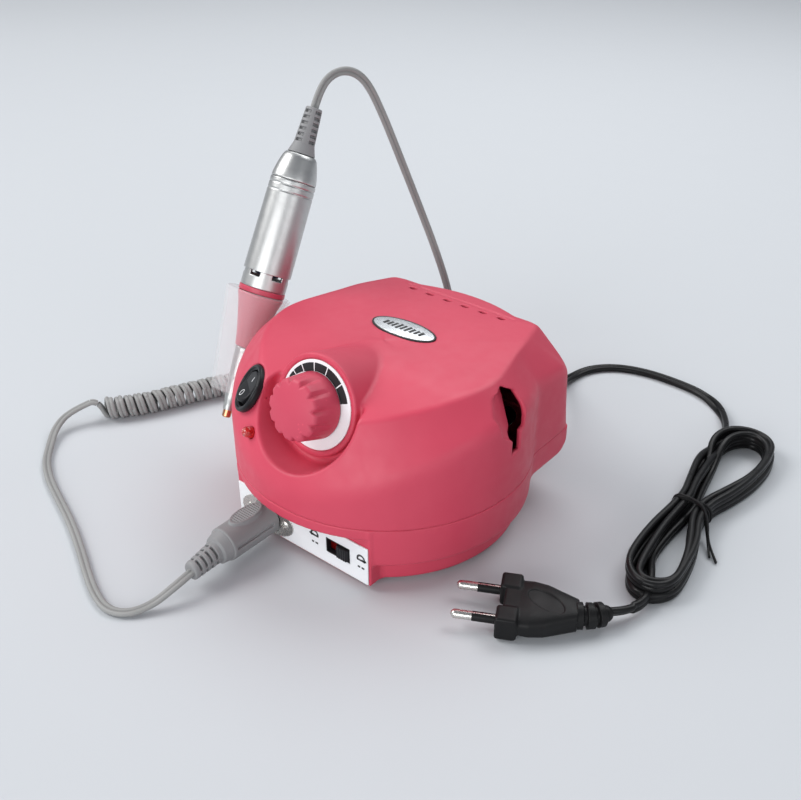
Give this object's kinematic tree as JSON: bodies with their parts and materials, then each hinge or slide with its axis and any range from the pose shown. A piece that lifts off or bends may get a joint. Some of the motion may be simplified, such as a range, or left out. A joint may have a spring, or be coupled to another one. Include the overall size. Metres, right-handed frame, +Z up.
{
  "type": "electric nail drill",
  "caption": "Salon nail drill: domed pink control box with speed dial and power rocker, silver motor handpiece in a clear cradle, curly grey lead and black mains lead.",
  "frame": {"origin": "under the middle of the control box, cradle and handpiece, on the surface that the feet stand on", "axes": "+Y towards the rear of the box, +Z up, right handed"},
  "size_m": [0.3294, 0.3348, 0.1838],
  "materials": {
    "shell": "satin",
    "panel": "satin",
    "socket": "satin",
    "screws": "polished",
    "switch_red": "satin",
    "switch_black": "satin",
    "lamp": "gloss",
    "badge": "brushed",
    "board": "satin",
    "capacitor": "satin",
    "steel": "satin",
    "silver": "satin",
    "iron": "matt",
    "copper": "satin",
    "nickel": "polished",
    "clear": "clear",
    "grip": "satin",
    "grey_rubber": "matt",
    "grey_cord": "matt",
    "black_rubber": "matt",
    "black_cord": "satin",
    "tie": "matt"
  },
  "bodies": {
    "control_box": {"upper_shell": "shell", "lower_shell": "shell", "front_panel": "panel", "din_socket": "socket", "socket_flange": "screws", "socket_screws": "screws", "slide_switch": "switch_red", "dial_plate": "panel", "potentiometer": "steel", "shaft_nut": "steel", "rocker_bezel": "switch_black", "power_lamp": "lamp", "badge": "badge", "circuit_board": "board", "capacitors": "capacitor", "heat_sink": "silver", "fuse_holder": "capacitor", "transformer_core": "iron", "transformer_windings": "copper", "cable_gland": "black_rubber", "rubber_feet": "black_rubber", "case_screws": "screws", "cradle": "clear", "mains_plug": "black_rubber", "mains_plug_pins": "nickel", "mains_plug_relief": "black_rubber", "handpiece_cord_upper": "grey_cord", "handpiece_cord_curl": "grey_cord", "handpiece_cord_lower": "grey_cord", "mains_lead": "black_cord", "mains_tail": "black_cord", "mains_hank": "black_cord", "twist_tie": "tie"},
    "power_rocker": {"rocker_paddle": "switch_black"},
    "speed_dial": {"speed_knob": "shell", "knob_shaft": "steel"},
    "direction_slider": {"slider_knob": "switch_black"},
    "lead_plug": {"din_plug": "grey_rubber", "plug_sleeve": "steel", "plug_pins": "steel", "plug_relief": "grey_rubber"},
    "handpiece": {"nose_tube": "silver", "grip_ring": "grip", "handpiece_barrel": "silver", "motor_can": "steel", "magnets": "iron", "bearings": "steel", "end_cap": "silver", "handpiece_relief": "grey_rubber"},
    "lock_grip": {"twist_grip": "grip"},
    "spindle": {"collet": "copper", "spindle_shaft": "steel", "coupling": "capacitor", "motor_shaft": "steel", "armature": "copper"}
  },
  "joints": [
    {"name": "rocker_tilt", "type": "hinge", "parent": "control_box", "child": "power_rocker", "pos_m": [-0.01971, -0.04769, 0.06886], "axis": [0.8, -0.6, 0], "range_deg": [0, 18]},
    {"name": "speed_turn", "type": "hinge", "parent": "control_box", "child": "speed_dial", "pos_m": [0.0163, -0.046, 0.0745], "axis": [0, 0.9613, -0.2756], "range_deg": [0, 290]},
    {"name": "direction_slide", "type": "slide", "parent": "control_box", "child": "direction_slider", "axis": [-1, 0, 0], "range_m": [0, 0.0066]},
    {"name": "plug_pull", "type": "slide", "parent": "control_box", "child": "lead_plug", "axis": [0, -1, 0], "range_m": [0, 0.011], "deforming": ["handpiece_cord_lower"]},
    {"name": "handpiece_lift", "type": "slide", "parent": "control_box", "child": "handpiece", "axis": [0, 0.4679, 0.8838], "range_m": [0, 0.06], "deforming": ["handpiece_cord_upper"]},
    {"name": "grip_twist", "type": "hinge", "parent": "handpiece", "child": "lock_grip", "pos_m": [-0.0697, -0.0251, 0.0238], "axis": [0, 0.4679, 0.8838], "range_deg": [0, 90]},
    {"name": "spindle_spin", "type": "hinge", "parent": "handpiece", "child": "spindle", "pos_m": [-0.0697, -0.0251, 0.0238], "axis": [0, 0.4679, 0.8838], "continuous": true}
  ]
}
